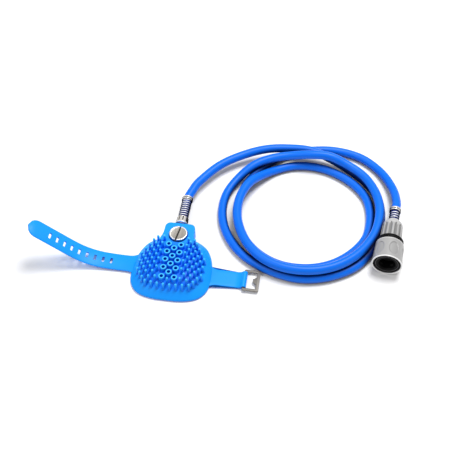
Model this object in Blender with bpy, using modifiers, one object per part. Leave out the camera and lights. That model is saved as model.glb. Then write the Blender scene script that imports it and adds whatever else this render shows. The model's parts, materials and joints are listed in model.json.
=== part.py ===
"""Palm-worn pet bath sprayer: a silicone scrubber pad with a wrist strap, a loose hose and its connector.

Metres, +Z up.  The pad lies palm side down.  +Y points along the pad towards the hose, and -X along the
long strap.  Lengths below are in millimetres and are turned into metres by MM as each shape is made.
"""

import math

import bmesh
import bpy
from mathutils import Matrix, Vector

MM = 0.001
GAP = 0.3  # clearance between neighbouring pieces

# Pad: the middle of its spray field is at PAD_X, PAD_Y of the world.
PAD_X, PAD_Y = 31.1, -6.25
PAD_SIDE = [(0, -49.0), (20, -47.8), (36, -41.8), (45.3, -29.3), (47.9, -13), (46.6, 5), (42.6, 20),
            (34.6, 33), (19.5, 42)]
PAD_TOP_Y = 44.5
LIP = 3.0  # thickness of the pad's rim
DOME = 15.0  # rise of the front from the rim to the middle
DOME_RUN = 30.0  # distance from the rim over which it rises
SKIRT = 4.0  # wall of the silicone rim round the palm plate
TAB_HALF, TAB_END, TAB_Z = 18.6, 57.0, 16.5
BOLT_Y = 38.5

# Spray field and scrubbing nubs
NOZZLE_R, NOZZLE_BORE, NOZZLE_H = 3.6, 1.7, 6.0
NOZZLE_PITCH_X, NOZZLE_PITCH_Y, NOZZLE_TOP_Y = 7.4, 11.6, 18.4
NUB_R, NUB_H = 1.6, 9.6
NUB_PITCH_X, NUB_PITCH_Y = 7.6, 5.85

# Stack inside the pad, as heights above the palm side
PLATE_TOP = 3.0
TRAY_FLOOR, TRAY_INNER, TRAY_TOP = 7.5, 9.0, 11.1
SPRAY_TOP, CHAMBER_TOP = 12.7, 13.0
TRAY_INSET = 18.5
BUTTON_R, BUTTON_LOW, BUTTON_TOP, FLANGE_R = 13.0, 0.8, 4.1, 14.4
PLUNGER_R = 4.0
INSERT_TOP, WASHER_H = 6.6, 0.8
EYE_LOW, EYE_TOP, EYE_R, SHANK_R = 8.0, 15.0, 9.0, 5.0
HEAD_LOW, HEAD_TOP, HEAD_R = 16.4, 19.8, 10.9
SLOT_TURN = -8  # degrees

# Straps and buckle
STRAP_T = 2.2
ROOT_GAP = 1.3  # room for the strap's end to swing; the silicone runs on through it
STRAP_ROOT = 48.0
LONG_STRAP_Y, LONG_STRAP_HALF = -2.6, 11.7
LONG_STRAP = [(48, 2.9), (60, 2.9), (74, 3.4), (88, 4.9), (100, 8.2), (111, 13.4), (121, 20.4), (131, 28.6),
              (141, 36.8), (151, 45.0), (166, 57.4)]
SLOTS, SLOT_PITCH, SLOT_FROM_TIP, SLOT_L, SLOT_W = 9, 10.0, 28.5, 7.6, 3.2
SHORT_STRAP_Y, SHORT_STRAP_HALF, STRAP_LOW = -8.2, 11.1, 1.0
BAR_X, BAR_Z, BAR_T, LOOP_R, LOOP_HOLE = 86.4, 3.7, 2.0, 3.3, 1.7
BUCKLE_L, BUCKLE_HALF, BUCKLE_RIM = 19.2, 14.8, 3.8
TOOTH_L, TOOTH_W = 4.2, 7.0

# Hose
HOSE_R, HOSE_END_R = 5.6, 5.1
HOSE_Z = 11.5  # height of the hose where it leaves the pad
COIL = (148.75, 95.0)  # middle of the coil, from the middle of the pad
TURN_STEP = 15  # degrees between stations of the coil
HOSE_POINTS = 77
RELIEF_WIRE, RELIEF_COIL_R = 0.6, 5.95
FERRULE_FROM, FERRULE_TO = 57.8, 68.0
RELIEF_TO, COLLAR_TO = 97.0, 101.6

# Connector: its mouth, and which way its axis runs back to the hose
MOUTH = (249.95, 26.3, 18.0)
CONNECTOR_YAW = 6.2
CONNECTOR_COLLAR_TO = 88.0
CLAWS = 4
FLUTES = 10


def clear_scene():
    for obj in list(bpy.data.objects):
        bpy.data.objects.remove(obj)


def new_collection(name):
    collection = bpy.data.collections.new(name)
    bpy.context.scene.collection.children.link(collection)
    return collection


def material(name, colour, roughness, metallic=0.0):
    made = bpy.data.materials.new(name)
    made.use_nodes = True
    shader = made.node_tree.nodes["Principled BSDF"]
    shader.inputs["Base Color"].default_value = (*colour, 1)
    shader.inputs["Roughness"].default_value = roughness
    shader.inputs["Metallic"].default_value = metallic
    made.diffuse_color = (*colour, 1)
    return made


def place(name, mesh, finish=None, parent=None):
    """Puts a mesh in the scene: a part if it has a finish, otherwise a hidden cutter."""
    obj = bpy.data.objects.new(name, mesh)
    if finish is None:
        CUTTERS.objects.link(obj)
        obj.hide_render = True
        obj.display_type = "WIRE"
    else:
        PARTS.objects.link(obj)
        mesh.materials.append(finish)
        mesh.shade_smooth()
        mesh.set_sharp_from_angle(angle=math.radians(35))
    obj.parent = parent
    return obj


def mesh_of(build):
    """A mesh filled by build(bm), with its faces turned outwards, in metres."""
    bm = bmesh.new()
    build(bm)
    bmesh.ops.recalc_face_normals(bm, faces=bm.faces)
    mesh = bpy.data.meshes.new("mesh")
    bm.to_mesh(mesh)
    bm.free()
    mesh.transform(Matrix.Scale(MM, 4))
    return mesh


def loft(bm, rings):
    """Closed skin through rings of points, with a flat cap on each end."""
    made = [[bm.verts.new(point) for point in ring] for ring in rings]
    count = len(made[0])
    for low, high in zip(made, made[1:]):
        for i in range(count):
            j = (i + 1) % count
            bm.faces.new((low[i], low[j], high[j], high[i]))
    bm.faces.new(made[0])
    bm.faces.new(made[-1])


def add_box(bm, low, high, matrix=None):
    size = [b - a for a, b in zip(low, high)]
    middle = [(a + b) / 2 for a, b in zip(low, high)]
    move = Matrix.Translation(middle) @ Matrix.Diagonal((*size, 1))
    bmesh.ops.create_cube(bm, size=1, matrix=(matrix or Matrix()) @ move)


def add_cylinder(bm, low, high, radius, centre=(0, 0), sides=32):
    move = Matrix.Translation((centre[0], centre[1], (low + high) / 2))
    bmesh.ops.create_cone(bm, cap_ends=True, segments=sides, radius1=radius, radius2=radius, depth=high - low,
                          matrix=move)


def turned(name, profile, finish, parent, sides=32, start=(0, 0, 0)):
    """A piece turned about the parent's Z axis from (radius, height) points, outer side top to bottom.

    A profile that begins on the axis also ends there, and any other is closed into a ring.
    """
    mesh = bpy.data.meshes.new(name)
    points = [(r * MM, 0, z * MM) for r, z in profile]
    edges = [(i, i + 1) for i in range(len(points) - 1)]
    if profile[0][0] > 0:
        edges.append((len(points) - 1, 0))
    mesh.from_pydata(points, edges, [])
    obj = place(name, mesh, finish, parent)
    obj.location = Vector(start) * MM
    screw = obj.modifiers.new("turn", "SCREW")
    screw.steps = screw.render_steps = sides
    screw.use_merge_vertices = True
    screw.merge_threshold = 0.00001
    return obj


def ring_profile(inner, outer, low, high):
    return [(outer, high), (outer, low), (inner, low), (inner, high)]


def boolean(obj, other, operation):
    modifier = obj.modifiers.new(operation.lower(), "BOOLEAN")
    modifier.operation = operation
    modifier.object = other
    modifier.solver = "EXACT"


def cut(obj, name, build, parent=None):
    boolean(obj, place(name, mesh_of(build), parent=parent), "DIFFERENCE")


def pivot_at(obj, x, y, z):
    """Moves the object's origin to a point of its joint's axis, and leaves its shape where it is."""
    point = Vector((x, y, z)) * MM
    obj.data.transform(Matrix.Translation(-point) @ obj.matrix_basis)
    obj.matrix_basis = Matrix.Translation(point)


def add_to(obj, name, build, parent=None):
    boolean(obj, place(name, mesh_of(build), parent=parent), "UNION")


def outline(name, splines, thickness, finish, parent, matrix):
    """A flat plate from a filled 2D curve: the first closed spline is its edge, and the others are holes."""
    curve = bpy.data.curves.new(name, "CURVE")
    curve.dimensions = "2D"
    curve.fill_mode = "BOTH"
    curve.extrude = thickness * MM / 2
    for points in splines:
        spline = curve.splines.new("POLY")
        spline.points.add(len(points) - 1)
        for slot, (x, y) in zip(spline.points, points):
            slot.co = (x * MM, y * MM, 0, 1)
        spline.use_cyclic_u = True
    return as_mesh(name, curve, finish, parent, matrix)


def as_mesh(name, curve, finish, parent, matrix=None):
    """The curve's evaluated shape as a mesh object, with its loose caps welded."""
    holder = bpy.data.objects.new(name + "_curve", curve)
    bpy.context.scene.collection.objects.link(holder)
    mesh = bpy.data.meshes.new_from_object(holder.evaluated_get(bpy.context.evaluated_depsgraph_get()))
    bpy.data.objects.remove(holder)
    bm = bmesh.new()
    bm.from_mesh(mesh)
    bmesh.ops.remove_doubles(bm, verts=bm.verts, dist=0.00001)
    bmesh.ops.recalc_face_normals(bm, faces=bm.faces)
    bm.to_mesh(mesh)
    bm.free()
    obj = place(name, mesh, finish, parent)
    if matrix:
        obj.matrix_basis = matrix
    return obj


def tube(name, points, radius, finish, parent=None, radii=None, resolution=1):
    curve = bpy.data.curves.new(name, "CURVE")
    curve.dimensions = "3D"
    curve.bevel_depth = radius * MM
    curve.bevel_resolution = resolution
    curve.use_fill_caps = True
    spline = curve.splines.new("POLY")
    spline.points.add(len(points) - 1)
    for i, (slot, point) in enumerate(zip(spline.points, points)):
        slot.co = (*(Vector(point) * MM), 1)
        slot.radius = radii[i] / radius if radii else 1
    curve.materials.append(finish)
    obj = bpy.data.objects.new(name, curve)
    PARTS.objects.link(obj)
    obj.parent = parent
    return obj


def arc(centre, radius, start, end, steps):
    turns = [math.radians(start + (end - start) * i / steps) for i in range(steps + 1)]
    return [(centre[0] + radius * math.cos(turn), centre[1] + radius * math.sin(turn)) for turn in turns]


def rounded_box(low, high, radius, steps=4):
    corners = [(high[0], low[1], -90), (high[0], high[1], 0), (low[0], high[1], 90), (low[0], low[1], 180)]
    points = []
    for x, y, turn in corners:
        middle = (x - math.copysign(radius, x - (low[0] + high[0]) / 2),
                  y - math.copysign(radius, y - (low[1] + high[1]) / 2))
        points += arc(middle, radius, turn, turn + 90, steps)
    return points


def helix(radius, low, high, turns, per_turn=8):
    count = round(turns * per_turn)
    return [(radius * math.cos(2 * math.pi * i / per_turn), radius * math.sin(2 * math.pi * i / per_turn),
             low + (high - low) * i / count) for i in range(count + 1)]


def smooth_curve(points, steps, closed=False, lead=None):
    """A Catmull-Rom curve through points, steps to each stretch. lead holds a point before and one after."""
    points = [Vector(p) for p in points]
    count = len(points)
    before, after = lead or (2 * points[0] - points[1], 2 * points[-1] - points[-2])
    ends = [points[-1]] + points + points[:2] if closed else [before] + points + [after]
    made = []
    for i in range(count if closed else count - 1):
        a, b, c, d = ends[i:i + 4]
        for k in range(steps):
            t = k / steps
            made.append(0.5 * (2 * b + (c - a) * t + (2 * a - 5 * b + 4 * c - d) * t * t
                               + (3 * b - a - 3 * c + d) * t ** 3))
    return made if closed else made + [points[-1]]


def evenly(points, count):
    """The same line as count points, all one distance apart along it."""
    spacing = sum((b - a).length for a, b in zip(points, points[1:])) / (count - 1)
    made, due = [points[0]], spacing
    for a, b in zip(points, points[1:]):
        length = (b - a).length
        while due <= length and len(made) < count - 1:
            made.append(a.lerp(b, due / length))
            due += spacing
        due -= length
    return made + [points[-1]]


# ---------------------------------------------------------------- pad

def pad_outline(inset=0.0, steps=2):
    """The pad's rim without its tab, as points round it, moved inwards by inset."""
    half = [Vector((x, y, 0)) for x, y in PAD_SIDE]
    ring = half + [Vector((0, PAD_TOP_Y, 0))] + [Vector((-p.x, p.y, 0)) for p in reversed(half[1:])]
    ring = smooth_curve(ring, steps, closed=True)
    count = len(ring)
    moved = []
    for i, point in enumerate(ring):
        along = ring[(i + 1) % count] - ring[i - 1]
        moved.append(point + Vector((-along.y, along.x, 0)).normalized() * inset)
    return moved


def dome_height(inset):
    """Height of the pad's front, inset from its rim."""
    return LIP + DOME * (1 - (1 - min(inset / DOME_RUN, 1)) ** 1.8)


def rim_distance(x, y):
    ring = pad_outline(steps=6)
    return min((Vector((x, y, 0)) - point).length for point in ring)


def pad_ring(inset, z, steps=2):
    return [(p.x, p.y, z) for p in pad_outline(inset, steps)]


def nozzle_places():
    rows = [(0, NOZZLE_TOP_Y - NOZZLE_PITCH_Y * (i + 0.5)) for i in range(4)]
    for side in (-1, 1):
        rows += [(side * NOZZLE_PITCH_X, NOZZLE_TOP_Y - NOZZLE_PITCH_Y * i) for i in range(5)]
    return rows


def nub_places():
    """Staggered rows on both sides of the nozzles, and two rows below them."""
    found = []
    for row in range(13):
        y = 29.0 - NUB_PITCH_Y * row
        for column in range(5):
            x = 14.6 + NUB_PITCH_X * (column + 0.5 * (row % 2))
            found += [(side * x, y - 0.06 * x) for side in (-1, 1)]
    found = [(x, y) for x, y in found if rim_distance(x, y) > (8.2 if y > 5 else 9.3) and y > -34]
    found += [(7.3 * (i - 3.5), -38.0 + 0.004 * (7.3 * (i - 3.5)) ** 2) for i in range(8)]
    return found + [(0, -32.0)]


def make_pad(finish):
    insets = (1.0, 0.0, 0.0, 1.6, 4.5, 9, 15, 22)
    heights = [0, 1.2] + [dome_height(i) for i in insets[2:]]
    rings = [pad_ring(inset, z) for inset, z in zip(insets, heights)]
    pad = place("scrubber_pad", mesh_of(lambda bm: loft(bm, rings)), finish, PAD)
    tab = rounded_box((-TAB_HALF, 20), (TAB_HALF, TAB_END), 8)
    tab_rings = [[(x, y, 0) for x, y in tab], [(x, y, TAB_Z - 1.5) for x, y in tab],
                 [(x * 0.94, y * 0.975, TAB_Z) for x, y in tab]]
    add_to(pad, "tab_block", lambda bm: loft(bm, tab_rings), PAD)
    add_to(pad, "nubs", add_nubs, PAD)
    add_to(pad, "nozzle_tubes", lambda bm: [
        add_cylinder(bm, CHAMBER_TOP + 2, surface(x, y) + NOZZLE_H, NOZZLE_R, (x, y), 10)
        for x, y in nozzle_places()], PAD)
    cut(pad, "nozzle_bores", lambda bm: [
        add_cylinder(bm, CHAMBER_TOP - 1, surface(x, y) + NOZZLE_H + 1, NOZZLE_BORE, (x, y), 6)
        for x, y in nozzle_places()], PAD)
    cut(pad, "plate_pocket", lambda bm: loft(bm, [
        pad_ring(SKIRT, -1), pad_ring(SKIRT, PLATE_TOP + GAP)]), PAD)
    cut(pad, "tray_pocket", lambda bm: loft(bm, [
        pad_ring(TRAY_INSET - GAP, PLATE_TOP - 1, 1), pad_ring(TRAY_INSET - GAP, CHAMBER_TOP, 1)]), PAD)
    cut(pad, "neck_pocket", lambda bm: add_box(
        bm, (-12, 15, PLATE_TOP - 1), (12, 50.5, INSERT_TOP + GAP)), PAD)
    cut(pad, "eye_pocket", lambda bm: add_cylinder(
        bm, INSERT_TOP, HEAD_LOW - 0.9, EYE_R + 0.4, (0, BOLT_Y)), PAD)
    cut(pad, "head_recess", lambda bm: add_cylinder(
        bm, HEAD_LOW - 1.2, 30, HEAD_R + 0.5, (0, BOLT_Y)), PAD)
    along_y = Matrix.Translation((0, 0, HOSE_Z)) @ Matrix.Rotation(math.radians(-90), 4, "X")
    cut(pad, "tail_passage", lambda bm: bmesh.ops.create_cone(
        bm, cap_ends=True, segments=24, radius1=3.8, radius2=3.8, depth=25,
        matrix=Matrix.Translation((0, 50, 0)) @ along_y), PAD)
    return pad


def surface(x, y):
    return dome_height(rim_distance(x, y))


def add_nubs(bm):
    """Pegs that stand on the dome."""
    for x, y in nub_places():
        base = surface(x, y)
        loft(bm, [[(x + px, y + py, z) for px, py, z in circle(radius, z, 5)]
                  for z, radius in ((base - 1.5, NUB_R + 0.15), (base + NUB_H, NUB_R * 0.85))])


def make_pad_inside():
    """The palm plate, the water tray with its spray plate, and the push valve in the middle of the palm."""
    plate = place("palm_plate", mesh_of(lambda bm: loft(bm, [
        pad_ring(SKIRT + GAP, 0), pad_ring(SKIRT + GAP, PLATE_TOP)])), BLACK, PAD)
    cut(plate, "button_hole", lambda bm: add_cylinder(bm, -1, PLATE_TOP + 1, BUTTON_R + 0.5), PAD)

    tray = place("water_tray", mesh_of(lambda bm: loft(bm, [
        pad_ring(TRAY_INSET, PLATE_TOP + GAP, 1), pad_ring(TRAY_INSET, TRAY_TOP, 1)])), GREY, PAD)
    add_to(tray, "tray_neck", lambda bm: add_box(bm, (-11, 18, PLATE_TOP + GAP), (11, 49.5, INSERT_TOP)), PAD)
    cut(tray, "tray_hollow", lambda bm: loft(bm, [
        pad_ring(TRAY_INSET + 2, TRAY_INNER, 1), pad_ring(TRAY_INSET + 2, TRAY_TOP + 1, 1)]), PAD)
    cut(tray, "button_room", lambda bm: add_cylinder(bm, 0, TRAY_FLOOR, BUTTON_R + 2), PAD)
    cut(tray, "plunger_bore", lambda bm: add_cylinder(bm, 0, TRAY_TOP, PLUNGER_R + GAP, sides=24), PAD)
    cut(tray, "insert_seat", lambda bm: add_cylinder(bm, 0, 20, 7.8, (0, BOLT_Y)), PAD)
    cut(tray, "inlet_channel", lambda bm: add_box(bm, (-2.5, 10, 0), (2.5, BOLT_Y, 5.2)), PAD)

    spray = place("spray_plate", mesh_of(lambda bm: loft(bm, [
        pad_ring(TRAY_INSET, TRAY_TOP + GAP, 1), pad_ring(TRAY_INSET, SPRAY_TOP, 1)])), STEEL, PAD)
    cut(spray, "spray_holes", lambda bm: [
        add_cylinder(bm, 5, 20, 1.2, spot, 5) for spot in nozzle_places()], PAD)

    button = turned("palm_button", [
        (0, BUTTON_TOP), (FLANGE_R, BUTTON_TOP), (FLANGE_R, PLATE_TOP + GAP), (BUTTON_R, PLATE_TOP + GAP),
        (BUTTON_R, BUTTON_LOW + 0.8), (BUTTON_R - 0.8, BUTTON_LOW), (0, BUTTON_LOW)], BLACK, PAD, 28)
    cut(button, "plunger_seat", lambda bm: add_cylinder(
        bm, BUTTON_TOP - 0.8, BUTTON_TOP + 1, PLUNGER_R + GAP, sides=20), PAD)
    turned("valve_plunger", [
        (0, 9.6), (PLUNGER_R - 0.5, 9.6), (PLUNGER_R, 9.1), (PLUNGER_R, 8.4), (3.2, 8.4), (3.2, 7.4),
        (PLUNGER_R, 7.4), (PLUNGER_R, BUTTON_TOP - 0.5), (0, BUTTON_TOP - 0.5)], BRASS, PAD, 20)
    turned("plunger_seal", ring_profile(3.35, PLUNGER_R + 0.1, 7.6, 8.2), RUBBER, PAD, 20)
    tube("valve_spring", helix(7.0, BUTTON_TOP + 0.7, TRAY_FLOOR - 0.7, 2), 0.35, STEEL, PAD)


def circle(radius, z, sides):
    return [(radius * math.cos(2 * math.pi * k / sides), radius * math.sin(2 * math.pi * k / sides), z)
            for k in range(sides)]


def make_banjo():
    """The slotted bolt through the hose eye, its washers and the insert that it screws into."""
    at = (0, BOLT_Y, 0)
    insert = ring_profile(SHANK_R + 0.2, 7.5, PLATE_TOP + GAP, INSERT_TOP)
    turned("threaded_insert", insert, BRASS, PAD, 24, at)
    for name, radius, low in (("lower_washer", 8.6, INSERT_TOP + GAP), ("upper_washer", 9.6, EYE_TOP + GAP)):
        turned(name, ring_profile(SHANK_R + 0.3, radius, low, low + WASHER_H), RUBBER, PAD, 24, at)
    eye = turned("hose_eye", ring_profile(SHANK_R + 0.4, EYE_R, EYE_LOW, EYE_TOP), BRASS, PAD, 28, at)
    tail = Matrix.Translation((0, 0, HOSE_Z)) @ Matrix.Rotation(math.radians(-90), 4, "X")

    def add_tail(bm):
        bmesh.ops.create_cone(bm, cap_ends=True, segments=20, radius1=3.4, radius2=3.4, depth=16,
                              matrix=Matrix.Translation((0, 15, 0)) @ tail)
    joined = place("eye_tail", mesh_of(add_tail), parent=PAD)
    joined.location = Vector(at) * MM
    boolean(eye, joined, "UNION")

    bolt = turned("coin_bolt", [
        (0, HEAD_TOP), (HEAD_R - 0.7, HEAD_TOP), (HEAD_R, HEAD_TOP - 0.7), (HEAD_R, HEAD_LOW),
        (SHANK_R, HEAD_LOW), (SHANK_R, 3.6), (0, 3.6)], STEEL, PAD, 36, at)
    turn = Matrix.Rotation(math.radians(SLOT_TURN), 4, "Z")
    for name, build in (
            ("coin_slot", lambda bm: add_box(bm, (-1.1, -20, HEAD_TOP - 1.8), (1.1, 20, HEAD_TOP + 2), turn)),
            ("bolt_bore", lambda bm: add_cylinder(bm, 0, 12.6, 2.4, sides=14)),
            ("bolt_ports", lambda bm: add_box(bm, (-20, -1.5, 10), (20, 1.5, 12.4)))):
        cutter = place(name, mesh_of(build), parent=PAD)
        cutter.location = Vector(at) * MM
        boolean(bolt, cutter, "DIFFERENCE")


def make_long_strap():
    """A band that runs flat from the pad and then curves up to its free end, with a row of slots."""
    line = smooth_curve([(-x, 0, z) for x, z in LONG_STRAP], 3)
    line[0].x -= ROOT_GAP
    rings, walked = [], 0.0
    total = sum((b - a).length for a, b in zip(line, line[1:]))
    for i, point in enumerate(line):
        walked += (point - line[i - 1]).length if i else 0
        along = (line[min(i + 1, len(line) - 1)] - line[max(i - 1, 0)]).normalized()
        up = Vector((along.z, 0, -along.x)) * (STRAP_T / 2)
        left = max(total - walked, 0.6)
        half = LONG_STRAP_HALF
        if left < half:
            half = math.sqrt(half ** 2 - (half - left) ** 2)
        a, b = (Vector((0, LONG_STRAP_Y + side * half, 0)) for side in (-1, 1))
        rings.append([point + a + up, point + b + up, point + b - up, point + a - up])
    strap = place("long_strap", mesh_of(lambda bm: loft(bm, rings)), SILICONE, PAD)

    def add_slots(bm):
        for k in range(SLOTS):
            point, along = along_line(line, total - SLOT_FROM_TIP - SLOT_PITCH * k)
            turn = Matrix.Translation(point) @ Matrix.Rotation(math.atan2(along.z, -along.x), 4, "Y")
            low, high = LONG_STRAP_Y - SLOT_L / 2, LONG_STRAP_Y + SLOT_L / 2
            add_box(bm, (-SLOT_W / 2, low, -4), (SLOT_W / 2, high, 4), turn)
    cut(strap, "strap_slots", add_slots, PAD)
    pivot_at(strap, line[0].x, LONG_STRAP_Y, line[0].z)


def along_line(line, distance):
    for a, b in zip(line, line[1:]):
        length = (b - a).length
        if distance <= length:
            return a.lerp(b, distance / length), (b - a).normalized()
        distance -= length
    return line[-1], (line[-1] - line[-2]).normalized()


def make_short_strap():
    """A short band whose end folds round the buckle's bar."""
    top = STRAP_LOW + STRAP_T
    fold = arc((BAR_X, BAR_Z), LOOP_R, -50, 140, 14)
    root = STRAP_ROOT + ROOT_GAP
    side = [(root, STRAP_LOW), (BAR_X - 2, STRAP_LOW)] + fold
    side += [(BAR_X - 7, top + 0.9), (BAR_X - 10, top), (root, top)]
    hole = arc((BAR_X, BAR_Z), LOOP_HOLE, 0, 337.5, 15)
    upright = Matrix.Translation((0, SHORT_STRAP_Y * MM, 0)) @ Matrix.Rotation(math.radians(90), 4, "X")
    strap = outline("short_strap", [side, hole], 2 * SHORT_STRAP_HALF, SILICONE, PAD, upright)
    pivot_at(strap, root, SHORT_STRAP_Y, STRAP_LOW + STRAP_T / 2)


def make_buckle():
    """A flat frame whose near bar lies in the strap's fold, with a fixed tooth on its far bar."""
    near = BAR_X - BAR_T / 2
    far = near + BUCKLE_L
    middle = SHORT_STRAP_Y
    edge = rounded_box((near, middle - BUCKLE_HALF), (far, middle + BUCKLE_HALF), 2, 3)
    inner = far - BUCKLE_RIM
    half = SHORT_STRAP_HALF + GAP + 0.2
    tooth = [(inner, middle - TOOTH_W / 2), (inner - TOOTH_L, middle - TOOTH_W / 2 + 0.8),
             (inner - TOOTH_L, middle + TOOTH_W / 2 - 0.8), (inner, middle + TOOTH_W / 2)]
    window = [(near + BAR_T, middle - half), (inner, middle - half)] + tooth
    window += [(inner, middle + half), (near + BAR_T, middle + half)]
    frame = outline("buckle_frame", [edge, window], BAR_T, STEEL, PAD, Matrix.Translation((0, 0, BAR_Z * MM)))
    pivot_at(frame, BAR_X, SHORT_STRAP_Y, BAR_Z)


# ---------------------------------------------------------------- hose

# Radius and height of the hose's middle at each station, TURN_STEP apart, clockwise from FIRST_STATION.
FIRST_STATION = 165
OUTER_TURN = [(143, 13), (134.8, 14), (126.2, 15), (118.6, 17), (112, 17.2), (107.6, 17.2), (104.5, 12),
              (103.4, 7), (103, 5.7), (101.5, 5.7), (97.5, 5.7), (94, 5.7), (92.5, 5.7), (93.8, 5.7),
              (94, 5.7), (93.2, 5.7), (93.2, 5.7), (93.5, 5.7), (93, 5.7), (94, 5.7), (96.3, 5.7),
              (98.5, 5.7), (101, 5.7), (103.3, 5.7)]
UPPER_TURN = [(105, 6.3), (103.8, 10), (101.8, 16.3), (99.3, 18), (95.8, 20), (93, 24.5), (96, 25),
              (99, 19), (99.5, 17.3), (97, 17.2), (94.2, 17.2), (91.2, 17.2), (89.5, 17.2), (88.2, 17.2),
              (88, 17.2), (88.4, 17.2), (89, 17.2), (89.6, 17.2), (90.2, 17.2), (89.6, 17.2), (87.6, 17.2),
              (85.3, 17.2), (84.2, 17.2), (83.9, 17.2)]
INNER_TURN = [(84, 17.2), (84.4, 16.2), (85.3, 11), (88, 6.2), (89.8, 5.7), (89.8, 5.7), (89.2, 5.7),
              (88.2, 5.7), (87.8, 5.7), (87, 5.7), (83.8, 5.7), (81.3, 5.7), (80.4, 5.7), (78.4, 5.7),
              (77.3, 5.7), (77.4, 5.7), (78, 5.7), (78.8, 5.7), (80.2, 5.7), (81, 5.7), (81.5, 5.7),
              (82.2, 5.7), (83, 5.7), (84.2, 5.7)]
LAST_TURN = [(87, 5.7), (91, 5.7), (97, 5.7), (104, 5.7), (111.8, 5.7), (119.5, 5.7), (127.4, 5.7),
             (132.4, 5.7), (130.6, 6.2), (124.5, 9.5)]


def connector_point(distance, z=MOUTH[2]):
    """A point on the connector's axis, a distance behind its mouth, from the middle of the pad."""
    turn = math.radians(CONNECTOR_YAW)
    return Vector((MOUTH[0] + distance * math.sin(turn), MOUTH[1] + distance * math.cos(turn), z))


def hose_line():
    """Straight through the relief at each end, and a smooth curve in between."""
    start, end = (Vector((0, y, HOSE_Z)) for y in (62, COLLAR_TO))
    loose = [end, Vector((4.0, 116, HOSE_Z + 0.8))]
    for i, (radius, height) in enumerate(OUTER_TURN + UPPER_TURN + INNER_TURN + LAST_TURN):
        angle = math.radians(FIRST_STATION - TURN_STEP * i)
        loose.append(Vector((COIL[0] + radius * math.cos(angle), COIL[1] + radius * math.sin(angle), height)))
    loose += [connector_point(103, 15.4), connector_point(CONNECTOR_COLLAR_TO)]
    line = smooth_curve(loose, 8, lead=(start.lerp(end, 0.7), connector_point(CONNECTOR_COLLAR_TO - 12)))
    return [start] + evenly(line, HOSE_POINTS) + [connector_point(60)]


def make_hose():
    points = hose_line()
    radii = [HOSE_END_R] * 2 + [HOSE_R] * (len(points) - 4) + [HOSE_END_R] * 2
    tube("hose", [point + PAD_MIDDLE for point in points], HOSE_R, HOSE_BLUE, None, radii, 2)


def make_relief(prefix, frame, start, spring_to, collar_to, turns):
    """A coil spring over the hose's end, and the collar that closes it, along the frame's Z axis."""
    wire = RELIEF_WIRE
    coil = helix(RELIEF_COIL_R, start + GAP + wire, spring_to - wire, turns)
    tube(prefix + "_relief_spring", coil, wire, STEEL, frame)
    turned(prefix + "_spring_collar", [
        (6.0, collar_to), (6.5, collar_to - 0.6), (6.5, spring_to + GAP),
        (HOSE_END_R + 0.25, spring_to + GAP), (HOSE_END_R + 0.25, collar_to)], STEEL, frame, 24)


def make_pad_ferrule():
    low, high = FERRULE_FROM, FERRULE_TO
    turned("pad_ferrule", [
        (6.3, high), (6.6, high - 0.5), (6.6, high - 3), (6.2, high - 3.8), (6.6, high - 4.6),
        (6.6, low + 0.6), (6.0, low), (3.7, low), (3.7, 61.4), (HOSE_END_R + GAP, 61.4),
        (HOSE_END_R + GAP, high)], STEEL, TAIL, 24)
    make_relief("pad", TAIL, FERRULE_TO, RELIEF_TO, COLLAR_TO, 10)


# ---------------------------------------------------------------- connector

def make_connector():
    """Quick connector on its side; heights here run from its mouth back to the hose."""
    turned("release_sleeve", [
        (16.6, 30), (16.9, 26), (17.7, 6), (18.0, 1.0), (17.6, 0), (16.3, 0), (16.2, 4.2), (12.75, 4.2),
        (12.75, 11), (15.8, 11), (15.8, 30)], GREY, CONNECTOR, 28)
    body = turned("connector_body", [
        (9.2, 52), (9.4, 35.2), (15.4, 35.2), (15.4, 30.4), (12.4, 30.4), (12.4, 3.9), (15.9, 3.9),
        (15.9, 1.4), (15.3, 0.8), (10.6, 0.8), (9.4, 2.2), (9.4, 26), (4.6, 27.5), (4.6, 52)],
        BLACK, CONNECTOR, 28)

    def add_windows(bm):
        for k in range(CLAWS):
            turn = Matrix.Rotation(2 * math.pi * (k + 0.5) / CLAWS, 4, "Z")
            add_box(bm, (8, -3.4, 4.3), (14, 3.4, 8.5), turn)
    cut(body, "claw_windows", add_windows, CONNECTOR)
    for k in range(CLAWS):
        turn = Matrix.Rotation(2 * math.pi * (k + 0.5) / CLAWS, 4, "Z")
        place(f"locking_claw_{k + 1}", mesh_of(lambda bm: loft(bm, [
            [turn @ Vector((r, y, z)) for r, y in ((low, -2.8), (11.5, -2.8), (11.5, 2.8), (low, 2.8))]
            for low, z in ((9.8, 4.7), (8.9, 6.4), (8.9, 8.1))])), STEEL, CONNECTOR)
    tube("sleeve_spring", helix(14.1, 12, 29.3, 4, 10), 0.7, STEEL, CONNECTOR)
    turned("spigot_seal", ring_profile(7.6, 9.1, 14, 15.8), RUBBER, CONNECTOR, 24)
    turned("hose_tail", ring_profile(2.4, 4.3, 36, 59.4), BRASS, CONNECTOR, 20)
    turned("grip_ring", [(8.8, 57.5), (9.3, 52.6), (5.6, 52.6), (5.6, 57.5)], BLACK, CONNECTOR, 24)
    make_nut()
    make_relief("connector", CONNECTOR, 68.4, 83.0, CONNECTOR_COLLAR_TO, 5)


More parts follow.
